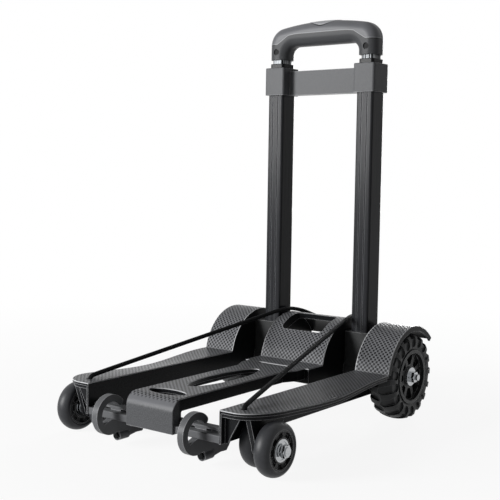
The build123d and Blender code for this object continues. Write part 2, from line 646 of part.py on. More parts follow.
def socket():
    """Right handle socket: a block that turns on the axle and holds the outer tube."""
    half = SOCKET_HALF_DEEP
    sketch = Pos(AXLE_Y, AXLE_Z) * Circle(SOCKET_R)
    sketch += Pos(AXLE_Y, (AXLE_Z + SOCKET_TOP) / 2) * Rectangle(2 * half, SOCKET_TOP - AXLE_Z)
    body = along_x(sketch, *SOCKET_X)
    body = fillet(body.edges().filter_by(Axis.Z), 2 * EDGE_R)
    body -= along_z(at_tube(solid_section(OUTER_TUBE)), TUBE_FOOT_Z, SOCKET_TOP + 1)
    return body - rod_x(AXLE_R + RUN_FIT, SOCKET_X[0] - 1, SOCKET_X[1] + 1, AXLE_Y, AXLE_Z)


def outer_tube():
    """Right outer tube, with two shallow grooves down its front."""
    section = tube_section(OUTER_TUBE, OUTER_WALL)
    wide, deep, side_x = GROOVE
    for x in (-side_x, side_x):
        section -= Pos(x, -OUTER_TUBE[1] / 2) * Rectangle(wide, 2 * deep)
    return along_z(at_tube(section), TUBE_FOOT_Z, BLOCK_TOP - BLOCK_CAP)


def bracket():
    """Bracket that caps both outer tubes and ties them with a bar."""
    block = Pos(TUBE_X, AXLE_Y, (BLOCK_LOW + BLOCK_TOP) / 2) * Box(
        BLOCK_WIDE, BLOCK_DEEP, BLOCK_TOP - BLOCK_LOW)
    block = fillet(block.edges().filter_by(Axis.Z), 3)
    block = fillet(block.edges().group_by(Axis.Z)[-1], 1)
    inner_x = TUBE_X - BLOCK_WIDE / 2
    tie = Pos(0, AXLE_Y + TIE_FRONT + TIE_DEEP / 2, (BLOCK_LOW + TIE_TOP) / 2) * Box(
        2 * inner_x + 2, TIE_DEEP, TIE_TOP - BLOCK_LOW)
    body = block + mirrored(block) + tie
    bores = along_z(at_tube(solid_section(OUTER_TUBE)), BLOCK_LOW - 1, BLOCK_TOP - BLOCK_CAP)
    bores += along_z(at_tube(solid_section(MID_TUBE, SLIDE_GAP)), BLOCK_TOP - BLOCK_CAP, BLOCK_TOP + 1)
    bores += bracket_screw()
    return body - bores - mirrored(bores)


def bracket_screw():
    """Countersunk screw through the back of the bracket into the right outer tube."""
    back = AXLE_Y + BLOCK_DEEP / 2
    z = (BLOCK_LOW + BLOCK_TOP) / 2
    depth = BLOCK_DEEP / 2 - OUTER_TUBE[1] / 2
    head = along_y(Pos(TUBE_X, z) * Circle(SCREW_HEAD_R), back, back + 1)
    return head + along_y(Pos(TUBE_X, z) * Circle(SCREW_R), back - depth, back)


def mid_tube():
    """Right middle tube."""
    return along_z(at_tube(tube_section(MID_TUBE, THIN_WALL)), MID_FOOT_Z, COLLAR_TOP - 3)


def mid_collar():
    """Right collar: caps the middle tube and guides the inner one."""
    low = BLOCK_TOP + SLIDE_GAP
    body = along_z(at_tube(solid_section(COLLAR)), low, COLLAR_TOP)
    body = fillet(body.edges().group_by(Axis.Z)[-1], 0.8)
    body -= along_z(at_tube(solid_section(MID_TUBE)), low - 1, COLLAR_TOP - 3)
    return body - along_z(at_tube(solid_section(INNER_TUBE, SLIDE_GAP)), low - 1, COLLAR_TOP + 1)


def mid_plug():
    """Right guide plug at the foot of the middle tube."""
    tall = 14.0
    hole = RectangleRounded(9, 14, 3)
    inside = (MID_TUBE[0] - 2 * THIN_WALL, MID_TUBE[1] - 2 * THIN_WALL, MID_TUBE[2] - THIN_WALL)
    body = along_z(at_tube(solid_section(inside) - hole), MID_FOOT_Z, MID_FOOT_Z + tall)
    less = 2 * OUTER_WALL + 2 * SLIDE_GAP
    shoe = (OUTER_TUBE[0] - less, OUTER_TUBE[1] - less, OUTER_TUBE[2] - OUTER_WALL)
    return body + along_z(at_tube(solid_section(shoe) - hole), MID_FOOT_Z - 2, MID_FOOT_Z)


def inner_tube():
    """Right inner tube, up into the grip."""
    return along_z(at_tube(tube_section(INNER_TUBE, THIN_WALL)), INNER_FOOT_Z, INNER_TUBE_TOP)


def inner_plug():
    """Right lock plug at the foot of the inner tube, with a bore for the release rod."""
    inside = (INNER_TUBE[0] - 2 * THIN_WALL, INNER_TUBE[1] - 2 * THIN_WALL, INNER_TUBE[2] - THIN_WALL)
    body = along_z(at_tube(solid_section(inside)), INNER_FOOT_Z, INNER_FOOT_Z + 26)
    return body - along_z(at_tube(Circle(ROD_R + SLIDE_GAP)), INNER_FOOT_Z + 4, INNER_FOOT_Z + 30)


def grip_body():
    """The whole grip: a crowned bow on two legs, rounded all along."""
    middle_z = GRIP_TOP - CROWN_R
    side_x = GRIP_OUTER - SHOULDER_R
    side_z = middle_z + sqrt((CROWN_R - SHOULDER_R) ** 2 - side_x ** 2)
    turn = degrees(atan2(side_z - middle_z, side_x))
    crown = CenterArc((0, middle_z), CROWN_R, turn, 180 - 2 * turn)
    right_side = CenterArc((side_x, side_z), SHOULDER_R, 0, turn)
    left_side = CenterArc((-side_x, side_z), SHOULDER_R, 180 - turn, turn)
    inner_x = GRIP_INNER - UNDER_R
    left = CenterArc((-inner_x, GRIP_UNDER - UNDER_R), UNDER_R, 90, 90)
    right = CenterArc((inner_x, GRIP_UNDER - UNDER_R), UNDER_R, 0, 90)
    rim = [
        Polyline(left_side @ 1, (-GRIP_OUTER, GRIP_LOW), (-GRIP_INNER, GRIP_LOW), left @ 1),
        Line(left @ 0, right @ 1),
        Polyline(right @ 0, (GRIP_INNER, GRIP_LOW), (GRIP_OUTER, GRIP_LOW), right_side @ 0),
    ]
    outline = make_face([crown, right_side, left_side, left, right] + rim)
    body = along_y(outline, AXLE_Y - GRIP_DEEP / 2, AXLE_Y + GRIP_DEEP / 2)
    faces = body.faces().sort_by(Axis.Y)
    long_edges = [
        edge for face in (faces[0], faces[-1]) for edge in face.edges()
        if edge.center().Z > GRIP_LOW + 1
    ]
    return fillet(long_edges, GRIP_ROUND)


def above_seam():
    """The space above the seam between the shells: low at the legs, raised along the bar."""
    far = GRIP_OUTER + 5
    points = [(far, SEAM_LOW), (70, SEAM_LOW), (52, SEAM_HIGH - 1.5), (40, SEAM_HIGH)]
    mirror_points = [(-x, z) for x, z in reversed(points)]
    edge = FilletPolyline(*points, *mirror_points, radius=[6, 6, 10, 10, 6, 6])
    rim = Polyline(edge @ 1, (-far, GRIP_TOP + 9), (far, GRIP_TOP + 9), edge @ 0)
    return along_y(make_face([edge, rim]), AXLE_Y - GRIP_DEEP, AXLE_Y + GRIP_DEEP)


def grip_cavity():
    """The hollow in the grip in which the push bar moves."""
    low, high = CAVITY_Z
    return Pos(0, AXLE_Y, (low + high) / 2) * Box(2 * CAVITY_HALF, CAVITY_DEEP, high - low)


def button_sketch(grow=0.0):
    """A sketch in (X, Y) of the lens-shaped button."""
    half, wide = BUTTON_LONG / 2 + grow, BUTTON_WIDE / 2 + grow
    front = ThreePointArc((-half, 0), (0, -wide), (half, 0))
    back = ThreePointArc((half, 0), (0, wide), (-half, 0))
    return Pos(0, AXLE_Y) * make_face([front, back])


def grip_shells():
    """Upper and lower shell: the grip cut along its seam, with tube bores, button well and screw holes."""
    body = grip_body() - grip_cavity()
    body -= along_z(button_sketch(BUTTON_GAP), WELL_LOW, GRIP_TOP + 5)
    stem_hole = Pos(0, AXLE_Y) * Rectangle(STEM[0] + 2 * BUTTON_GAP, STEM[1] + 2 * BUTTON_GAP)
    body -= along_z(stem_hole, CAVITY_Z[1] - 1, WELL_LOW + 1)
    bore = along_z(at_tube(solid_section(INNER_TUBE)), GRIP_LOW - 1, INNER_TUBE_TOP)
    bore += along_z(at_tube(Circle(ROD_R + 0.6)), INNER_TUBE_TOP - 1, CAVITY_Z[0] + 1)
    bore += grip_screw()
    front = AXLE_Y - GRIP_DEEP / 2
    sink = Pos(TUBE_X, GRIP_SCREW_Z) * Circle(SCREW_HEAD_R + 0.8)
    bore += along_y(sink, front - 1, front + GRIP_SCREW_SINK)
    body -= bore
    body -= mirrored(bore)
    cap = above_seam()
    return body & cap, body - cap


def grip_screw():
    """Screw sunk in the front of the right leg, holding the inner tube."""
    head_y = AXLE_Y - GRIP_DEEP / 2 + GRIP_SCREW_SINK
    at_leg = Pos(TUBE_X, GRIP_SCREW_Z)
    head = along_y(at_leg * Circle(SCREW_HEAD_R), head_y, head_y + 1.5)
    return head + along_y(at_leg * Circle(SCREW_R), head_y + 1.5, AXLE_Y - INNER_TUBE[1] / 2)


def release_button():
    """Release button: lens-shaped, rounded like the grip's top, with a stem down to the push bar."""
    body = along_z(button_sketch(), BUTTON_LOW, GRIP_TOP + 5) & Pos(0, 0, BUTTON_PROUD) * grip_body()
    stem = along_z(Pos(0, AXLE_Y) * Rectangle(*STEM), PUSH_BAR_Z + PUSH_BAR[2] / 2, BUTTON_LOW + 1)
    return body + stem


def push_bar():
    """Bar that carries the button's travel to both rods."""
    return Pos(0, AXLE_Y, PUSH_BAR_Z) * Box(*PUSH_BAR)


def release_rod():
    """Right release rod, from the push bar down to the lock plug."""
    return along_z(at_tube(Circle(ROD_R)), ROD_FOOT_Z, PUSH_BAR_Z - PUSH_BAR[2] / 2)


def button_spring():
    """Return spring under the push bar, as a plain sleeve because the grip hides it."""
    return along_z(Pos(0, AXLE_Y) * (Circle(SPRING_R[1]) - Circle(SPRING_R[0])), CAVITY_Z[0],
                   PUSH_BAR_Z - PUSH_BAR[2] / 2)


def cord_route():
    """Points of the elastic cord, from the right wing tip round the hump to the left wing tip."""
    right = [(*CORD_HOLE, KNOT_Z + KNOT_R - 1), (*CORD_HOLE, CORD_RISE)] + CORD_SHOULDER
    return right + [(-x, y, z) for x, y, z in reversed(right)]


def bend_radii(route):
    """The arc of each corner: 0.45 of its shorter run over the tangent of half the turn."""
    points = [Vector(*point) for point in route]
    radii = []
    for before, corner, after in zip(points, points[1:], points[2:]):
        run_in, run_out = corner - before, after - corner
        half_turn = radians(run_in.get_angle(run_out) / 2)
        radii.append(0.45 * min(run_in.length, run_out.length) / tan(half_turn))
    return radii


def cord():
    """Elastic cord: a round tube along straight runs joined by tangent arcs."""
    route = cord_route()
    bends = bend_radii(route)
    path = FilletPolyline(*route, radius=bends)
    start = Plane(origin=path @ 0, z_dir=path % 0)
    tube = sweep(start * Circle(CORD_D / 2), path=path)
    section = pi * CORD_D ** 2 / 4
    print("cord bends", [round(radius, 1) for radius in bends])
    print(f"cord length {path.length:.0f} mm, volume over section {tube.volume / section:.0f} mm")
    return tube


def cord_knot():
    """Knot under the right wing tip that stops the cord's end."""
    ball = Pos(*CORD_HOLE, KNOT_Z) * Sphere(KNOT_R)
    return ball - Pos(*CORD_HOLE, KNOT_Z + KNOT_R) * Cylinder(CORD_D / 2, 2)


def both(shape):
    """A right-hand piece and its mirror image as one group."""
    shapes = shape if isinstance(shape, list) else [shape]
    return Compound(children=[*shapes, *[mirrored(each) for each in shapes]])


def group(shapes):
    """Separate solids under one node."""
    return Compound(children=shapes)


def mirrored_group(shapes):
    """The mirror images of separate solids under one node."""
    return Compound(children=[mirrored(each) for each in shapes])


# Foot plate
save_pair("wing", wing())
save("centre_hump", hump())
save("centre_panel", panel())
save("front_crossbar", crossbar())
save_pair("cord_hook", hook())
save("hook_screws", both(hook_screw()))
save("elastic_cord", cord())
save("cord_knots", both(cord_knot()))

# Wheels and axles
save("rear_axle", rod_x(AXLE_R, -AXLE_HALF, AXLE_HALF, AXLE_Y, AXLE_Z))
save("axle_washers", both(axle_washer()))
save("axle_nuts", both(axle_nut()))
save_pair("rear_tyre", rear_tyre())
save_pair("rear_hub", rear_hub())
save("right_rear_bushes", group(rear_bushes()))
save("left_rear_bushes", mirrored_group(rear_bushes()))
for place, (wheel_x, wheel_y) in (("outer", OUTER_WHEEL), ("inner", INNER_WHEEL)):
    save_pair(f"{place}_front_tyre", front_tyre(wheel_x, wheel_y))
    save_pair(f"{place}_front_hub", front_hub(wheel_x, wheel_y))
    save(f"right_{place}_front_bearings", group(front_bearings(wheel_x, wheel_y)))
    save(f"left_{place}_front_bearings", mirrored_group(front_bearings(wheel_x, wheel_y)))
save("outer_front_bolts", both(outer_bolt()))
save("inner_front_bolts", both(inner_bolt()))
save("front_spacers", both(front_spacers()))

# Handle
save_pair("handle_socket", socket())
save_pair("outer_tube", outer_tube())
save("top_bracket", bracket())
save("bracket_screws", both(bracket_screw()))
save_pair("middle_tube", mid_tube())
save_pair("middle_collar", mid_collar())
save_pair("middle_plug", mid_plug())
save_pair("inner_tube", inner_tube())
save_pair("inner_plug", inner_plug())
upper_shell, lower_shell = grip_shells()
save("grip_upper_shell", upper_shell)
save("grip_lower_shell", lower_shell)
save("grip_screws", both(grip_screw()))
save("release_button", release_button())
save("push_bar", push_bar())
save("release_rods", both(release_rod()))
save("button_spring", button_spring())
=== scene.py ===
import bpy
import numpy as np
from mathutils import Matrix, Vector


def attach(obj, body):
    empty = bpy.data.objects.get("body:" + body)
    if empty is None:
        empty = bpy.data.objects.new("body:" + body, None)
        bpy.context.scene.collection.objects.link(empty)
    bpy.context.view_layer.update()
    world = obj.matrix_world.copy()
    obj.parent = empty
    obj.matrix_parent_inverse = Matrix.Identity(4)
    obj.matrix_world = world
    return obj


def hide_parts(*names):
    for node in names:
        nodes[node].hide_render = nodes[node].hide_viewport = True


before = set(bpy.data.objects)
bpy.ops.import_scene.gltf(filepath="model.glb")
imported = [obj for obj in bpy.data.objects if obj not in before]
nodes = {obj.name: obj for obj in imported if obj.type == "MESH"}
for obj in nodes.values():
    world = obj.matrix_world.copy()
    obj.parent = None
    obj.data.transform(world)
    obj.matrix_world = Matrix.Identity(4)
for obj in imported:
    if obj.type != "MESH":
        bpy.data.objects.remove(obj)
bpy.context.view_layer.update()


# Foot plate: two wings, the hump over the rear axle and the slotted centre panel.
# Injection-moulded ABS, dyed black right through. The mould's etched faces give the tops a raised
# diamond grain for grip; the walls come out plain. The mouldings hang on the axle and the crossbar.
MM = 0.001
KNUCKLE_Y, KNUCKLE_Z, KNUCKLE_R = 152.5 * MM, 56.6 * MM, 67.5 * MM
CREASE_Y = 86.3 * MM
DECK_TOP = 70.0 * MM
LIP_START_Y, LIP_FADE = -178.0 * MM, 4.0 * MM
LIP_HALF = 36.5 * MM
ARCH_EDGES_X = np.array([50.5, 99.2, 148.0]) * MM
GRAIN_PITCH = 5.9 * MM  # the real grain is about half as coarse, and would not show
GRAIN_TALL = 0.6 * MM
FLANK_FROM, FLANK_TO = -0.6, 0.15  # the part of the grain's wave on which a diamond's flank rises
WALL_TILT, TOP_TILT = 0.7, 0.92  # the upward part of a face's normal, on a plain wall and on a top
ROUND_FROM, ROUND_TO = 0.2, 0.5  # the same on the rounding between them
WALL_GRAIN = 1.3 * MM  # coarser than real spark erosion, so that it shows
SPECK_FROM, SPECK_TO = 0.35, 0.65  # the part of the noise that is stretched to full contrast
EDGE_HIGHLIGHT_REACH = 1.2 * MM
PLAIN_FACE, SHARP_EDGE = 0.99, 0.85  # cosine between a face and its blunted self
# The grain's pits carry painted shade and its crowns painted sheen.
GRAIN_PIT_SHADE, GRAIN_CROWN_SHEEN = "#0e0f11", "#77787b"
# The walls are darkened as painted shade, and the lip lightened as painted light.
WALL_PAINTED_SHADE = "#131416", "#222325"
LIP_PAINTED_LIGHT = "#4b4c4e", "#5d5e60"
# Painted highlight tones for the arches' rims and the wings' brinks, for the lip's brink, and for every sharp
# edge.
RIM_HIGHLIGHT_TONE, LIP_HIGHLIGHT_TONE, EDGE_HIGHLIGHT_TONE = "#c4c5c7", "#6c6d70", "#a2a3a5"


def linear(code):
    """An sRGB hex colour as linear RGBA: each channel is undone by the sRGB curve."""
    channels = np.array([int(code[i:i + 2], 16) for i in (1, 3, 5)]) / 255
    curve = np.where(channels <= 0.04045, channels / 12.92, ((channels + 0.055) / 1.055) ** 2.4)
    return (*curve, 1.0)


def add(tree, kind, inputs=None, **settings):
    """Add a node, set its options, and fill its inputs with values or with other nodes' outputs."""
    made = tree.nodes.new(kind)
    for option, value in settings.items():
        setattr(made, option, value)
    for socket, value in (inputs or {}).items():
        if isinstance(value, bpy.types.NodeSocket):
            tree.links.new(value, made.inputs[socket])
        else:
            made.inputs[socket].default_value = value
    return made


def surface(name, **sockets):
    """A new material with one Principled shader; returns the material, its tree and the shader."""
    material = bpy.data.materials.new(name)
    material.use_nodes = True
    tree = material.node_tree
    shader = tree.nodes["Principled BSDF"]
    for socket, value in sockets.items():
        shader.inputs[socket.replace("_", " ")].default_value = value
    return material, tree, shader


def edge_highlight_mask(tree):
    """How much a spot lies on an edge, where the painted highlight goes: 0 where the face runs on within reach, 1
    where it turns sharply.
    """
    here = add(tree, "ShaderNodeNewGeometry")
    blunted = add(tree, "ShaderNodeBevel", {"Radius": EDGE_HIGHLIGHT_REACH}, samples=8)
    alike = add(tree, "ShaderNodeVectorMath", {0: here.outputs["Normal"], 1: blunted.outputs[0]},
                operation="DOT_PRODUCT")
    return add(tree, "ShaderNodeMapRange", {0: alike.outputs["Value"], 1: PLAIN_FACE, 2: SHARP_EDGE})


def clad(material, *names):
    """Give carried-over nodes a material."""
    for name in names:
        nodes[name].material_slots[0].material = material


# Satin black with a lattice of small raised diamonds: painted sheen on their crowns, painted shade in their pits,
# and a painted highlight along every edge.
grained_abs, tree, shader = surface("Moulded ABS, diamond grain", Roughness=0.3, Specular_IOR_Level=0.07)
coordinates = add(tree, "ShaderNodeTexCoord")
place = add(tree, "ShaderNodeSeparateXYZ", {0: coordinates.outputs["Object"]})
facing = add(tree, "ShaderNodeSeparateXYZ", {0: coordinates.outputs["Normal"]})
aside = add(tree, "ShaderNodeMath", {0: place.outputs["X"]}, operation="ABSOLUTE")

# The lattice runs along Y on the flat tops and along the arc behind the crease.
behind = add(tree, "ShaderNodeMath", {0: place.outputs["Y"], 1: CREASE_Y}, operation="GREATER_THAN")
ahead = add(tree, "ShaderNodeMath", {0: 1.0, 1: behind.outputs[0]}, operation="SUBTRACT")
to_y = add(tree, "ShaderNodeMath", {0: place.outputs["Y"], 1: KNUCKLE_Y}, operation="SUBTRACT")
to_z = add(tree, "ShaderNodeMath", {0: place.outputs["Z"], 1: KNUCKLE_Z}, operation="SUBTRACT")
turn = add(tree, "ShaderNodeMath", {0: to_z.outputs[0], 1: to_y.outputs[0]}, operation="ARCTAN2")
arc = add(tree, "ShaderNodeMath", {0: turn.outputs[0], 1: KNUCKLE_R}, operation="MULTIPLY")
along = add(tree, "ShaderNodeMix", {0: behind.outputs[0], 2: place.outputs["Y"], 3: arc.outputs[0]})
waves = []
for distance in (place.outputs["X"], along.outputs[0]):
    phase = add(tree, "ShaderNodeMath", {0: distance, 1: 2 * np.pi / GRAIN_PITCH}, operation="MULTIPLY")
    waves.append(add(tree, "ShaderNodeMath", {0: phase.outputs[0]}, operation="SINE").outputs[0])
lattice = add(tree, "ShaderNodeMath", {0: waves[0], 1: waves[1]}, operation="MULTIPLY")
diamonds = add(tree, "ShaderNodeMapRange", {0: lattice.outputs[0], 1: FLANK_FROM, 2: FLANK_TO},
               interpolation_type="SMOOTHSTEP")

# A top is where the face looks up, or away from the axle behind the crease.
radial_y = add(tree, "ShaderNodeMath", {0: facing.outputs["Y"], 1: to_y.outputs[0]}, operation="MULTIPLY")
radial_z = add(tree, "ShaderNodeMath", {0: facing.outputs["Z"], 1: to_z.outputs[0], 2: radial_y.outputs[0]},
               operation="MULTIPLY_ADD")
outward = add(tree, "ShaderNodeMath", {0: radial_z.outputs[0], 1: KNUCKLE_R}, operation="DIVIDE")
upward = add(tree, "ShaderNodeMix", {0: behind.outputs[0], 2: facing.outputs["Z"], 3: outward.outputs[0]})
top = add(tree, "ShaderNodeMapRange", {0: upward.outputs[0], 1: WALL_TILT, 2: TOP_TILT})
raised = add(tree, "ShaderNodeMath", {0: diamonds.outputs[0], 1: top.outputs[0]}, operation="MULTIPLY")
bump = add(tree, "ShaderNodeBump", {"Height": raised.outputs[0], "Distance": GRAIN_TALL, "Strength": 1.0})
tree.links.new(bump.outputs[0], shader.inputs["Normal"])

# Tops: painted shade in the pits between the diamonds, painted sheen on their crowns, and painted highlight bands
# along the edges of the arches.
top_colour = add(tree, "ShaderNodeMix",
                 {0: diamonds.outputs[0], 6: linear(GRAIN_PIT_SHADE), 7: linear(GRAIN_CROWN_SHEEN)}, data_type="RGBA")
off_rims = behind
for rim_x in ARCH_EDGES_X:
    on_one = add(tree, "ShaderNodeMath", {0: aside.outputs[0], 1: rim_x, 2: EDGE_HIGHLIGHT_REACH}, operation="COMPARE")
    off_one = add(tree, "ShaderNodeMath", {0: 1.0, 1: on_one.outputs[0]}, operation="SUBTRACT")
    off_rims = add(tree, "ShaderNodeMath", {0: off_rims.outputs[0], 1: off_one.outputs[0]}, operation="MULTIPLY")
on_rim_highlight = add(tree, "ShaderNodeMath", {0: behind.outputs[0], 1: off_rims.outputs[0]}, operation="SUBTRACT")
top_colour = add(tree, "ShaderNodeMix",
                 {0: on_rim_highlight.outputs[0], 6: top_colour.outputs[2], 7: linear(RIM_HIGHLIGHT_TONE)}, data_type="RGBA")

# Walls: a fine speckle, darkened as painted shade, lightened on the panel's rolled lip as painted light, and with
# a painted highlight where they meet the tops.
middle = add(tree, "ShaderNodeMath", {0: aside.outputs[0], 1: LIP_HALF}, operation="LESS_THAN")
lit_lip = add(tree, "ShaderNodeMapRange",
          {0: place.outputs["Y"], 1: LIP_START_Y, 2: LIP_START_Y - LIP_FADE, 4: middle.outputs[0]})
specks = add(tree, "ShaderNodeTexNoise",
             {"Vector": coordinates.outputs["Object"], "Scale": 1 / WALL_GRAIN, "Detail": 3.0})
specks = add(tree, "ShaderNodeMapRange", {0: specks.outputs[0], 1: SPECK_FROM, 2: SPECK_TO})
shaded_wall, lit_lip_wall = [
    add(tree, "ShaderNodeMix", {0: specks.outputs[0], 6: linear(dark), 7: linear(light)}, data_type="RGBA")
    for dark, light in (WALL_PAINTED_SHADE, LIP_PAINTED_LIGHT)
]
wall_colour = add(tree, "ShaderNodeMix",
                  {0: lit_lip.outputs[0], 6: shaded_wall.outputs[2], 7: lit_lip_wall.outputs[2]}, data_type="RGBA")
# Where a wall rounds over into a top it gets a painted highlight.
brink_highlight_tone = add(tree, "ShaderNodeMix",
                   {0: lit_lip.outputs[0], 6: linear(RIM_HIGHLIGHT_TONE), 7: linear(LIP_HIGHLIGHT_TONE)}, data_type="RGBA")
brink_highlight = add(tree, "ShaderNodeMath", {0: place.outputs["Z"], 1: DECK_TOP - EDGE_HIGHLIGHT_REACH}, operation="GREATER_THAN")
brink_highlight = add(tree, "ShaderNodeMath", {0: brink_highlight.outputs[0], 1: ahead.outputs[0]}, operation="MULTIPLY")
rounded = add(tree, "ShaderNodeMapRange", {0: upward.outputs[0], 1: ROUND_FROM, 2: ROUND_TO})
brink_highlight = add(tree, "ShaderNodeMath", {0: brink_highlight.outputs[0], 1: rounded.outputs[0]}, operation="MAXIMUM")
wall_colour = add(tree, "ShaderNodeMix",
                  {0: brink_highlight.outputs[0], 6: wall_colour.outputs[2], 7: brink_highlight_tone.outputs[2]}, data_type="RGBA")

colour = add(tree, "ShaderNodeMix",
             {0: top.outputs[0], 6: wall_colour.outputs[2], 7: top_colour.outputs[2]}, data_type="RGBA")
# Every sharp edge gets a painted highlight.
edge_highlight = edge_highlight_mask(tree)
colour = add(tree, "ShaderNodeMix",
             {0: edge_highlight.outputs[0], 6: colour.outputs[2], 7: linear(EDGE_HIGHLIGHT_TONE)}, data_type="RGBA")
tree.links.new(colour.outputs[2], shader.inputs["Base Color"])
clad(grained_abs, "right_wing", "left_wing", "centre_hump", "centre_panel")


# Crossbar and cord hooks: plain moulded pieces, slid and screwed onto the foot plate.
# ABS with a fine spark-eroded grain, which breaks the gloss into a soft sheen; its edges get a painted highlight.
FINE_GRAIN, FINE_TALL = 0.8 * MM, 0.05 * MM


def mottled(name, pitch, shades, detail=2.0, edge_highlight=None, relief=None, **sockets):
    """A finish that drifts between two shades in noise of the given pitch.

    The paler colour for its edges is a painted highlight, and relief is the height and strength of the noise as
    bump.
    """
    material, tree, shader = surface(name, **sockets)
    coordinates = add(tree, "ShaderNodeTexCoord")
    noise = add(tree, "ShaderNodeTexNoise",
                {"Vector": coordinates.outputs["Object"], "Scale": 1 / pitch, "Detail": detail})
    dark, light = shades
    tone = add(tree, "ShaderNodeMix", {0: noise.outputs[0], 6: linear(dark), 7: linear(light)}, data_type="RGBA")
    if edge_highlight:
        edge = edge_highlight_mask(tree)
        tone = add(tree, "ShaderNodeMix", {0: edge.outputs[0], 6: tone.outputs[2], 7: linear(edge_highlight)},
                   data_type="RGBA")
    tree.links.new(tone.outputs[2], shader.inputs["Base Color"])
    if relief:
        height, strength = relief
        bump = add(tree, "ShaderNodeBump", {"Height": noise.outputs[0], "Distance": height, "Strength": strength})
        tree.links.new(bump.outputs[0], shader.inputs["Normal"])
    return material


plain_abs = mottled("Moulded ABS, fine grain", FINE_GRAIN, ("#57585a", "#6a6b6d"), edge_highlight="#a8a9ab",
                    relief=(FINE_TALL, 0.6), Roughness=0.32, Specular_IOR_Level=0.08)
clad(plain_abs, "front_crossbar", "right_cord_hook", "left_cord_hook")


# Axle, bolts, nuts, washers, spacers, bearings, rods and spring: turned and headed steel, zinc plated.
# The plate gives a clear mirror, a little clouded by its crystals, which are drawn coarser than real.
PLATE_CRYSTAL = 1.5 * MM

plated_steel = mottled("Zinc-plated steel", PLATE_CRYSTAL, ("#8f9193", "#c8cacc"), Metallic=1.0, Roughness=0.16)
clad(plated_steel, "rear_axle", "axle_washers", "axle_nuts", "outer_front_bolts", "inner_front_bolts",
     "front_spacers", "release_rods", "button_spring")
for side in ("right", "left"):
    clad(plated_steel, f"{side}_outer_front_bearings", f"{side}_inner_front_bearings")


# Screws of the hooks, the bracket and the grip: headed steel, driven into the mouldings.
# Blackened in hot oil, which leaves a patchy dark film with a dull shine.
OXIDE_PATCH = 1.5 * MM

black_steel = mottled("Black oxide on steel", OXIDE_PATCH, ("#0c0d0e", "#1e1f20"), detail=4.0,
                      Roughness=0.4, Specular_IOR_Level=0.05)
clad(black_steel, "hook_screws", "bracket_screws", "grip_screws")


# Rear wheels: tyres moulded in black rubber with a tractor tread, pressed onto spoked nylon hubs.
# The rubber is dull with a slight bloom and the nylon has a low sheen; both get a painted highlight along their
# edges.
BLOOM_PATCH, BLOOM_TALL = 9.0 * MM, 0.15 * MM
NYLON_GRAIN = 1.2 * MM

tread_rubber = mottled("Tyre rubber, moulded", BLOOM_PATCH, ("#1c1d1e", "#343536"), detail=6.0, edge_highlight="#6c6d6e",
                       relief=(BLOOM_TALL, 0.5), Roughness=0.5, Specular_IOR_Level=0.25)
hub_nylon = mottled("Moulded nylon", NYLON_GRAIN, ("#28292a", "#383939"), edge_highlight="#8e8f90",
                    Roughness=0.4, Specular_IOR_Level=0.2)
for side in ("right", "left"):
    clad(tread_rubber, f"{side}_rear_tyre")
    clad(hub_nylon, f"{side}_rear_hub", f"{side}_rear_bushes")


# Front wheels: two rollers at each corner, polyurethane cast round nylon hubs with ball bearings.
# The cast tyres are smooth, a shade greyer than the rear ones, and clouded by road wear.
ROAD_WEAR = 6.0 * MM

cast_tyre = mottled("Cast polyurethane", ROAD_WEAR, ("#26272a", "#37383b"), detail=5.0,
                    Roughness=0.42, Specular_IOR_Level=0.25)
for side in ("right", "left"):
    for row in ("outer", "inner"):
        clad(cast_tyre, f"{side}_{row}_front_tyre")
        clad(hub_nylon, f"{side}_{row}_front_hub")


# Handle tubes: three drawn aluminium tubes in each leg, each sliding in the one below it. The lowest
# stand in nylon sockets on the axle. The two lower stages are anodised black, which leaves a satin
# sheen, streaked lengthwise by the die, with a painted highlight at the grooves and corners.
DIE_LINE = 0.7 * MM  # coarser than real die lines, so that they show
DIE_TALL = 0.03 * MM
DRAWN_OUT = (1.0, 1.0, 0.01)  # a line is a hundred times as long as it is wide

black_anodised, tree, shader = surface("Black anodised aluminium", Roughness=0.22, Specular_IOR_Level=0.06)
coordinates = add(tree, "ShaderNodeTexCoord")
drawn = add(tree, "ShaderNodeMapping", {"Vector": coordinates.outputs["Object"], "Scale": DRAWN_OUT})
lines = add(tree, "ShaderNodeTexNoise", {"Vector": drawn.outputs[0], "Scale": 1 / DIE_LINE, "Detail": 3.0})
tone = add(tree, "ShaderNodeMix", {0: lines.outputs[0], 6: linear("#121315"), 7: linear("#3c3d40")},
           data_type="RGBA")
# Grooves and corners get a painted highlight.
edge_highlight = edge_highlight_mask(tree)
tone = add(tree, "ShaderNodeMix", {0: edge_highlight.outputs[0], 6: tone.outputs[2], 7: linear("#77787b")},
           data_type="RGBA")
bump = add(tree, "ShaderNodeBump", {"Height": lines.outputs[0], "Distance": DIE_TALL, "Strength": 0.4})
tree.links.new(tone.outputs[2], shader.inputs["Base Color"])
tree.links.new(bump.outputs[0], shader.inputs["Normal"])
for side in ("right", "left"):
    clad(black_anodised, f"{side}_outer_tube", f"{side}_middle_tube")
    clad(hub_nylon, f"{side}_handle_socket")

# The innermost tubes are left bright, with light and dark bands painted into their colour as a painted reflection
# of their surroundings.
REFLECTION_BAND = 3 * DIE_LINE
BAND_FROM, BAND_TO = 0.42, 0.62

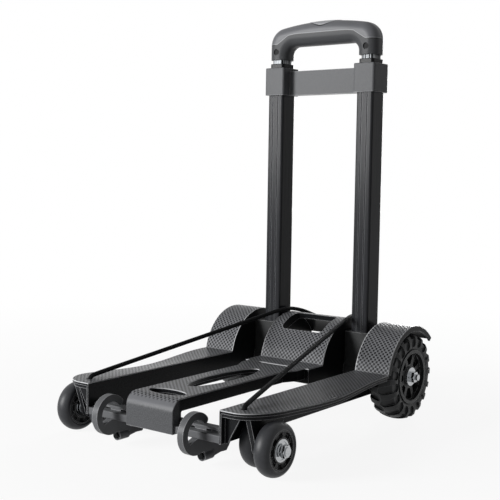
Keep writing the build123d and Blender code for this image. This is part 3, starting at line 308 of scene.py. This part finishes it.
bright_aluminium, tree, shader = surface("Polished aluminium", Metallic=1.0, Roughness=0.45)
coordinates = add(tree, "ShaderNodeTexCoord")
drawn = add(tree, "ShaderNodeMapping", {"Vector": coordinates.outputs["Object"], "Scale": DRAWN_OUT})
lines = add(tree, "ShaderNodeTexNoise", {"Vector": drawn.outputs[0], "Scale": 1 / REFLECTION_BAND, "Detail": 3.0})
painted_reflection = add(tree, "ShaderNodeMapRange", {0: lines.outputs[0], 1: BAND_FROM, 2: BAND_TO})
tone = add(tree, "ShaderNodeMix", {0: painted_reflection.outputs[0], 6: linear("#141516"), 7: linear("#6e7072")},
           data_type="RGBA")
tree.links.new(tone.outputs[2], shader.inputs["Base Color"])
clad(bright_aluminium, "right_inner_tube", "left_inner_tube")


# Bracket across the tube tops, screwed on, and the plugs and push bar inside the tubes and grip.
# Moulded glass-filled nylon: dark grey and dull, with a sandy grain and a painted highlight along its edges.
GLASS_GRAIN, GLASS_TALL = 0.9 * MM, 0.08 * MM

bracket_nylon = mottled("Glass-filled nylon", GLASS_GRAIN, ("#4e4f51", "#6c6d6f"), detail=4.0, edge_highlight="#a4a5a7",
                        relief=(GLASS_TALL, 0.6), Roughness=0.28, Specular_IOR_Level=0.05)
clad(bracket_nylon, "top_bracket", "push_bar")
for side in ("right", "left"):
    clad(bracket_nylon, f"{side}_middle_plug", f"{side}_inner_plug")


# Collars that cap the middle tubes just above the bracket, pushed on.
# ABS from a polished mould: gloss black, with faint flow lines from the gate.
FLOW_LINE = 8.0 * MM

gloss_black = mottled("Gloss ABS", FLOW_LINE, ("#08090a", "#161719"), Roughness=0.15, Specular_IOR_Level=0.06)
clad(gloss_black, "right_middle_collar", "left_middle_collar")


# Grip: an upper and a lower shell clamped round the inner tubes, with a lens-shaped release button.
# Moulded ABS, smooth and satin above, darker and duller below. Where the upper shell meets the lower one,
# painted shade marks the gap and a painted highlight its rim; painted shade also rings the button's well.
SEAM_BENDS_X = np.array([40.0, 52.0, 70.0]) * MM
SEAM_Z = np.array([508.0, 506.5, 495.5]) * MM
SEAM_GAP = 1.1 * MM
SEAM_RIM = 2.09 * MM
BUTTON_ARC_R = 34.54 * MM
BUTTON_ARC_MIDDLES_Y = np.array([176.54, 133.46]) * MM
WELL_LINE = 1.2 * MM
WELL_LOW = 515.5 * MM
SHEEN_PATCH = 25.0 * MM
THUMB_RUB = 6.0 * MM
GAP_SHADE = "#0c0d0e"

grip_upper_abs, tree, shader = surface("Satin ABS", Roughness=0.45, Specular_IOR_Level=0.3)
coordinates = add(tree, "ShaderNodeTexCoord")
place = add(tree, "ShaderNodeSeparateXYZ", {0: coordinates.outputs["Object"]})
aside = add(tree, "ShaderNodeMath", {0: place.outputs["X"]}, operation="ABSOLUTE")
sheen = add(tree, "ShaderNodeTexNoise", {"Vector": coordinates.outputs["Object"], "Scale": 1 / SHEEN_PATCH})
tone = add(tree, "ShaderNodeMix", {0: sheen.outputs[0], 6: linear("#55565a"), 7: linear("#646568")},
           data_type="RGBA")

# Height above the seam, which is level along the bar and falls towards the legs.
level = add(tree, "ShaderNodeMapRange", {0: aside.outputs[0], 1: SEAM_BENDS_X[0], 2: SEAM_BENDS_X[1],
                                         3: SEAM_Z[0], 4: SEAM_Z[1]})
dip = add(tree, "ShaderNodeMapRange", {0: aside.outputs[0], 1: SEAM_BENDS_X[1], 2: SEAM_BENDS_X[2],
                                       4: SEAM_Z[1] - SEAM_Z[2]})
above = add(tree, "ShaderNodeMath", {0: place.outputs["Z"], 1: level.outputs[0]}, operation="SUBTRACT")
above = add(tree, "ShaderNodeMath", {0: above.outputs[0], 1: dip.outputs[0]}, operation="ADD")
# Just above the seam: painted shade in the gap, and above that a painted highlight on the shell's rim.
on_rim_highlight = add(tree, "ShaderNodeMath", {0: above.outputs[0], 1: SEAM_RIM}, operation="LESS_THAN")
in_gap = add(tree, "ShaderNodeMath", {0: above.outputs[0], 1: SEAM_GAP}, operation="LESS_THAN")
tone = add(tree, "ShaderNodeMix", {0: on_rim_highlight.outputs[0], 6: tone.outputs[2], 7: linear("#7e7f82")},
           data_type="RGBA")
tone = add(tree, "ShaderNodeMix", {0: in_gap.outputs[0], 6: tone.outputs[2], 7: linear(GAP_SHADE)},
           data_type="RGBA")

# The button's outline is two arcs, so a spot is inside it when both middles are within their radius.
flat = add(tree, "ShaderNodeVectorMath", {0: coordinates.outputs["Object"], 1: (1, 1, 0)}, operation="MULTIPLY")
reach = [
    add(tree, "ShaderNodeVectorMath", {0: flat.outputs[0], 1: (0, middle_y, 0)}, operation="DISTANCE")
    for middle_y in BUTTON_ARC_MIDDLES_Y
]
farther = add(tree, "ShaderNodeMath", {0: reach[0].outputs["Value"], 1: reach[1].outputs["Value"]},
              operation="MAXIMUM")
by_button = add(tree, "ShaderNodeMath", {0: farther.outputs[0], 1: BUTTON_ARC_R + WELL_LINE},
                operation="LESS_THAN")
on_top = add(tree, "ShaderNodeMath", {0: place.outputs["Z"], 1: WELL_LOW}, operation="GREATER_THAN")
# Round the button the well gets painted shade.
well_shade = add(tree, "ShaderNodeMath", {0: by_button.outputs[0], 1: on_top.outputs[0]}, operation="MULTIPLY")
tone = add(tree, "ShaderNodeMix", {0: well_shade.outputs[0], 6: tone.outputs[2], 7: linear(GAP_SHADE)},
           data_type="RGBA")
tree.links.new(tone.outputs[2], shader.inputs["Base Color"])
clad(grip_upper_abs, "grip_upper_shell")

# The button is the same ABS, rubbed lighter by thumbs.
button_abs = mottled("Satin ABS, rubbed", THUMB_RUB, ("#8c8d90", "#a4a5a8"), detail=3.0,
                     Roughness=0.4, Specular_IOR_Level=0.3)
clad(button_abs, "release_button")

grip_lower_abs = mottled("Matte ABS", FINE_GRAIN, ("#3c3d3f", "#4a4b4d"), relief=(FINE_TALL, 0.5),
                         Roughness=0.42, Specular_IOR_Level=0.12)
clad(grip_lower_abs, "grip_lower_shell")


# Elastic cord: rubber strands in a braided polyester sleeve, stretched from one wing tip round the
# back of the hump to the other. Each end goes through a hole in its wing and is knotted below.
CORD_D = 5.5 * MM
CORD_RIGHT = np.array([
    (117.0, -169.5, 65.4),
    (117.0, -169.5, 72.5),
    (114.4, -156.5, 75.5),
    (60.6, 114.0, 123.1),
    (53.2, 151.0, 129.0),
    (46.5, 178.0, 124.3),
    (32.0, 196.0, 114.2),
    (12.0, 204.1, 106.5),
]) * MM
CORD_ROUTE = np.vstack([CORD_RIGHT, CORD_RIGHT[::-1] * (-1, 1, 1)])
BRAID_PITCH = 4.0 * MM  # coarser than a real braid, so that it shows
BRAID_TALL = 0.3 * MM
STRAND_FLANK = 0.6
KNOT_CENTRE = np.array([117.0, -169.5, 61.8]) * MM
KNOT_R = 1.5 * MM
KNOT_LOOP = 1.1 * MM
KNOT_DEEP = 1.4
KNOT_STEPS, KNOT_SIDES = 97, 10


def spline_points(route, name):
    """Points of the open NURBS curve of order 3 that has the route as its control points."""
    curve = bpy.data.curves.new(name, "CURVE")
    curve.dimensions = "3D"
    curve.resolution_u = 16
    spline = curve.splines.new("NURBS")
    spline.points.add(len(route) - 1)
    spline.points.foreach_set("co", np.column_stack([route, np.ones(len(route))]).ravel())
    spline.order_u = 3
    spline.use_endpoint_u = True
    holder = bpy.data.objects.new(name, curve)
    bpy.context.scene.collection.objects.link(holder)
    bpy.context.view_layer.update()
    line = bpy.data.meshes.new_from_object(holder.evaluated_get(bpy.context.evaluated_depsgraph_get()))
    points = np.empty(3 * len(line.vertices))
    line.vertices.foreach_get("co", points)
    bpy.data.objects.remove(holder)
    return points.reshape(-1, 3)


def tube_mesh(name, path, radius, around=16):
    """A capped round tube: point(u, v) = path(v) + radius * (side(v) cos u + lift(v) sin u).

    Its UV map holds metres round the tube and metres along it.
    """
    run = np.gradient(path, axis=0)
    run /= np.linalg.norm(run, axis=1)[:, None]
    side = np.empty_like(run)
    side[0] = np.cross(run[0], (0, 1, 0.3))  # any direction that no path here starts in
    for i in range(1, len(run)):
        side[i] = side[i - 1] - run[i] * (side[i - 1] @ run[i])
    side /= np.linalg.norm(side, axis=1)[:, None]
    lift = np.cross(run, side)
    turn = np.linspace(0, 2 * np.pi, around, endpoint=False)[None, :, None]
    skin = path[:, None] + radius * (side[:, None] * np.cos(turn) + lift[:, None] * np.sin(turn))

    rows = len(path)
    first = np.arange(rows * around).reshape(rows, around)
    after = np.roll(first, -1, axis=1)
    quads = np.stack([first[:-1], after[:-1], after[1:], first[1:]], axis=-1).reshape(-1, 4)
    caps = [first[0, ::-1].tolist(), first[-1].tolist()]
    mesh = bpy.data.meshes.new(name)
    mesh.from_pydata(skin.reshape(-1, 3), [], quads.tolist() + caps)

    length = np.concatenate([[0], np.cumsum(np.linalg.norm(np.diff(path, axis=0), axis=1))])
    start, end = length[:-1], length[1:]
    span = np.arange(around)
    across = np.stack([span, span + 1, span + 1, span], axis=-1) * (2 * np.pi * radius / around)
    onward = np.stack([start, start, end, end], axis=-1)[:, None]
    shape = (rows - 1, around, 4)
    corners = np.stack([np.broadcast_to(across, shape), np.broadcast_to(onward, shape)], axis=-1)
    flat = np.vstack([corners.reshape(-1, 2), np.zeros((2 * around, 2))])
    mesh.uv_layers.new(name="UVMap").data.foreach_set("uv", flat.ravel())
    mesh.polygons.foreach_set("use_smooth", np.ones(len(mesh.polygons), bool))
    return mesh


def show(mesh, material, body):
    """Put a finished mesh in the scene on one of the cart's bodies."""
    mesh.materials.append(material)
    piece = bpy.data.objects.new(mesh.name, mesh)
    bpy.context.scene.collection.objects.link(piece)
    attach(piece, body)
    return piece


# Two sets of strands cross each other on a slant: near-black, dull, with a fine relief.
braid, tree, shader = surface("Braided polyester", Roughness=0.6, Specular_IOR_Level=0.06)
coordinates = add(tree, "ShaderNodeTexCoord")
place = add(tree, "ShaderNodeSeparateXYZ", {0: coordinates.outputs["UV"]})
strands = []
for lean in (1.0, -1.0):
    slant = add(tree, "ShaderNodeMath", {0: place.outputs["X"], 1: lean, 2: place.outputs["Y"]},
                operation="MULTIPLY_ADD")
    phase = add(tree, "ShaderNodeMath", {0: slant.outputs[0], 1: 2 * np.pi / BRAID_PITCH}, operation="MULTIPLY")
    strands.append(add(tree, "ShaderNodeMath", {0: phase.outputs[0]}, operation="SINE").outputs[0])
weave = add(tree, "ShaderNodeMath", {0: strands[0], 1: strands[1]}, operation="MULTIPLY")
over = add(tree, "ShaderNodeMapRange", {0: weave.outputs[0], 1: -STRAND_FLANK, 2: STRAND_FLANK})
tone = add(tree, "ShaderNodeMix", {0: over.outputs[0], 6: linear("#08090a"), 7: linear("#151618")},
           data_type="RGBA")
bump = add(tree, "ShaderNodeBump", {"Height": over.outputs[0], "Distance": BRAID_TALL, "Strength": 0.7})
tree.links.new(tone.outputs[2], shader.inputs["Base Color"])
tree.links.new(bump.outputs[0], shader.inputs["Normal"])

cord_line = spline_points(CORD_ROUTE, "cord_line")
cord = show(tube_mesh("braided_cord", cord_line, CORD_D / 2), braid, "base")
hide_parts("elastic_cord")

# Each knot is a trefoil: (sin t + 2 sin 2t, cos t - 2 cos 2t, -deep sin 3t), pulled tight.
loop = np.linspace(0, 2 * np.pi, KNOT_STEPS)
trefoil = np.column_stack([
    np.sin(loop) + 2 * np.sin(2 * loop),
    np.cos(loop) - 2 * np.cos(2 * loop),
    -KNOT_DEEP * np.sin(3 * loop),
]) * KNOT_LOOP
for name, side in (("right_knot", 1), ("left_knot", -1)):
    knot = tube_mesh(name, trefoil + KNOT_CENTRE * (side, 1, 1), KNOT_R, KNOT_SIDES)
    show(knot, braid, "base")
    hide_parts("cord_knots")


# Studio: a pale floor, white surroundings, a large soft light at the front left and a weaker one behind.
# The camera stands where the photograph's stood, a little above the deck and to the cart's right.
FLOOR_HALF = 6.0
FLOOR_NEAR, FLOOR_FAR = 0.3, 1.2
LIFT_NEAR, LIFT_FAR = 0.9, 1.0
WORLD_LIGHT = 0.06
CAMERA_PLACE = Vector((0.73986, -0.98810, 0.32300))
CAMERA_TURN, CAMERA_DIP, CAMERA_ROLL = np.radians([37.06, 4.65, 0.89])
CAMERA_LENS = 71.05
CAMERA_SENSOR = 36.0


def seen_rays(tree):
    """1 on the rays that show the background: from the camera, off gloss and through clear things."""
    kinds = add(tree, "ShaderNodeLightPath").outputs
    seen = add(tree, "ShaderNodeMath", {0: kinds["Is Camera Ray"], 1: kinds["Is Glossy Ray"]},
               operation="MAXIMUM")
    return add(tree, "ShaderNodeMath", {0: seen.outputs[0], 1: kinds["Is Transmission Ray"]},
               operation="MAXIMUM")


# The floor fades to white away from the cart, and keeps a little of the cart's shadow near it.
floor_paint, tree, shader = surface("Floor paint", Roughness=0.9)
shader.inputs["Base Color"].default_value = linear("#f0f0f0")
coordinates = add(tree, "ShaderNodeTexCoord")
distance = add(tree, "ShaderNodeVectorMath", {0: coordinates.outputs["Object"]}, operation="LENGTH")
fade = add(tree, "ShaderNodeMapRange",
           {0: distance.outputs["Value"], 1: FLOOR_NEAR, 2: FLOOR_FAR, 3: LIFT_NEAR, 4: LIFT_FAR})
lifted = add(tree, "ShaderNodeMath", {0: seen_rays(tree).outputs[0], 1: fade.outputs[0]}, operation="MULTIPLY")
white = add(tree, "ShaderNodeEmission", {"Color": linear("#ffffff"), "Strength": 1.0})
mixed = add(tree, "ShaderNodeMixShader", {0: lifted.outputs[0], 1: shader.outputs[0], 2: white.outputs[0]})
tree.links.new(mixed.outputs[0], tree.nodes["Material Output"].inputs["Surface"])
corners = np.array([(-1, -1, 0), (1, -1, 0), (1, 1, 0), (-1, 1, 0)]) * FLOOR_HALF
floor_mesh = bpy.data.meshes.new("floor")
floor_mesh.from_pydata(corners.tolist(), [], [(0, 1, 2, 3)])
floor_mesh.materials.append(floor_paint)
floor = bpy.data.objects.new("floor", floor_mesh)
bpy.context.scene.collection.objects.link(floor)

world = bpy.data.worlds.new("studio")
bpy.context.scene.world = world
world.use_nodes = True
tree = world.node_tree
background = tree.nodes["Background"]
background.inputs["Color"].default_value = linear("#ffffff")
strength = add(tree, "ShaderNodeMapRange", {0: seen_rays(tree).outputs[0], 3: WORLD_LIGHT, 4: 1.0})
tree.links.new(strength.outputs[0], background.inputs["Strength"])


def softbox(name, place, aim, size, power):
    """A rectangular area light that faces a point; size is its width and its height."""
    lamp = bpy.data.lights.new(name, "AREA")
    lamp.shape = "RECTANGLE"
    lamp.size, lamp.size_y = size
    lamp.energy = power
    holder = bpy.data.objects.new(name, lamp)
    holder.location = place
    holder.rotation_mode = "QUATERNION"
    holder.rotation_quaternion = (Vector(aim) - Vector(place)).to_track_quat("-Z", "Y")
    bpy.context.scene.collection.objects.link(holder)


softbox("key", place=(-1.35, -1.95, 0.8), aim=(0, 0, 0.27), size=(0.8, 1.0), power=70)
softbox("back", place=(-0.6, 2.4, 0.55), aim=(0, 0, 0.25), size=(0.9, 0.8), power=30)

sight = Vector((-np.sin(CAMERA_TURN) * np.cos(CAMERA_DIP),
                np.cos(CAMERA_TURN) * np.cos(CAMERA_DIP),
                -np.sin(CAMERA_DIP)))
level = Vector((np.cos(CAMERA_TURN), np.sin(CAMERA_TURN), 0))
upright = level.cross(sight)
camera_right = level * np.cos(CAMERA_ROLL) + upright * np.sin(CAMERA_ROLL)
camera_up = upright * np.cos(CAMERA_ROLL) - level * np.sin(CAMERA_ROLL)
camera_axes = Matrix((camera_right, camera_up, -sight)).transposed().to_4x4()
lens = bpy.data.cameras.new("camera")
lens.lens = CAMERA_LENS
lens.sensor_width = CAMERA_SENSOR
camera = bpy.data.objects.new("camera", lens)
camera.matrix_world = Matrix.Translation(CAMERA_PLACE) @ camera_axes
bpy.context.scene.collection.objects.link(camera)
bpy.context.scene.camera = camera
bpy.context.scene.view_settings.view_transform = "Standard"
